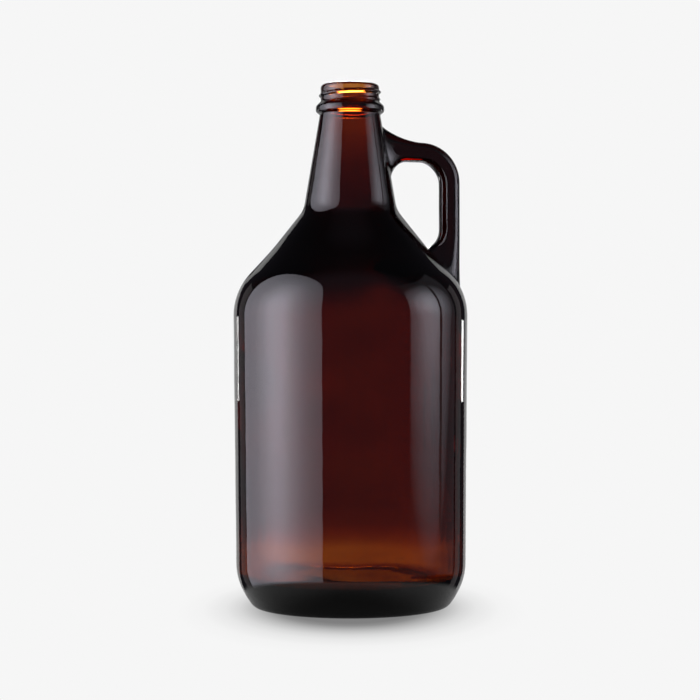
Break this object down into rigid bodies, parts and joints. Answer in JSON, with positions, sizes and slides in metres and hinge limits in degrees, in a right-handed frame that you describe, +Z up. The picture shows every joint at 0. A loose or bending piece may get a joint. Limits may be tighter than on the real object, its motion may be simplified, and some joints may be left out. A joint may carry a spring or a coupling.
{
  "type": "growler",
  "caption": "Amber glass growler: a tall round bottle with a sloping shoulder, a threaded narrow mouth and a moulded loop handle on the neck.",
  "frame": {"origin": "on the bottle's axis, in the plane of the bearing ring that the bottle stands on", "axes": "+Z up along the bottle's axis towards the mouth, +X towards the handle"},
  "size_m": [0.1352, 0.1352, 0.301],
  "materials": {
    "amber_glass": "gloss, brown amber container glass"
  },
  "bodies": {
    "root": {"finish": "amber_glass", "thread": "amber_glass", "transfer_bead": "amber_glass", "neck": "amber_glass", "neck_root": "amber_glass", "shoulder": "amber_glass", "body_wall": "amber_glass", "heel": "amber_glass", "insweep": "amber_glass", "base": "amber_glass", "handle_arm": "amber_glass", "handle_grip": "amber_glass", "handle_foot": "amber_glass"}
  },
  "joints": []
}
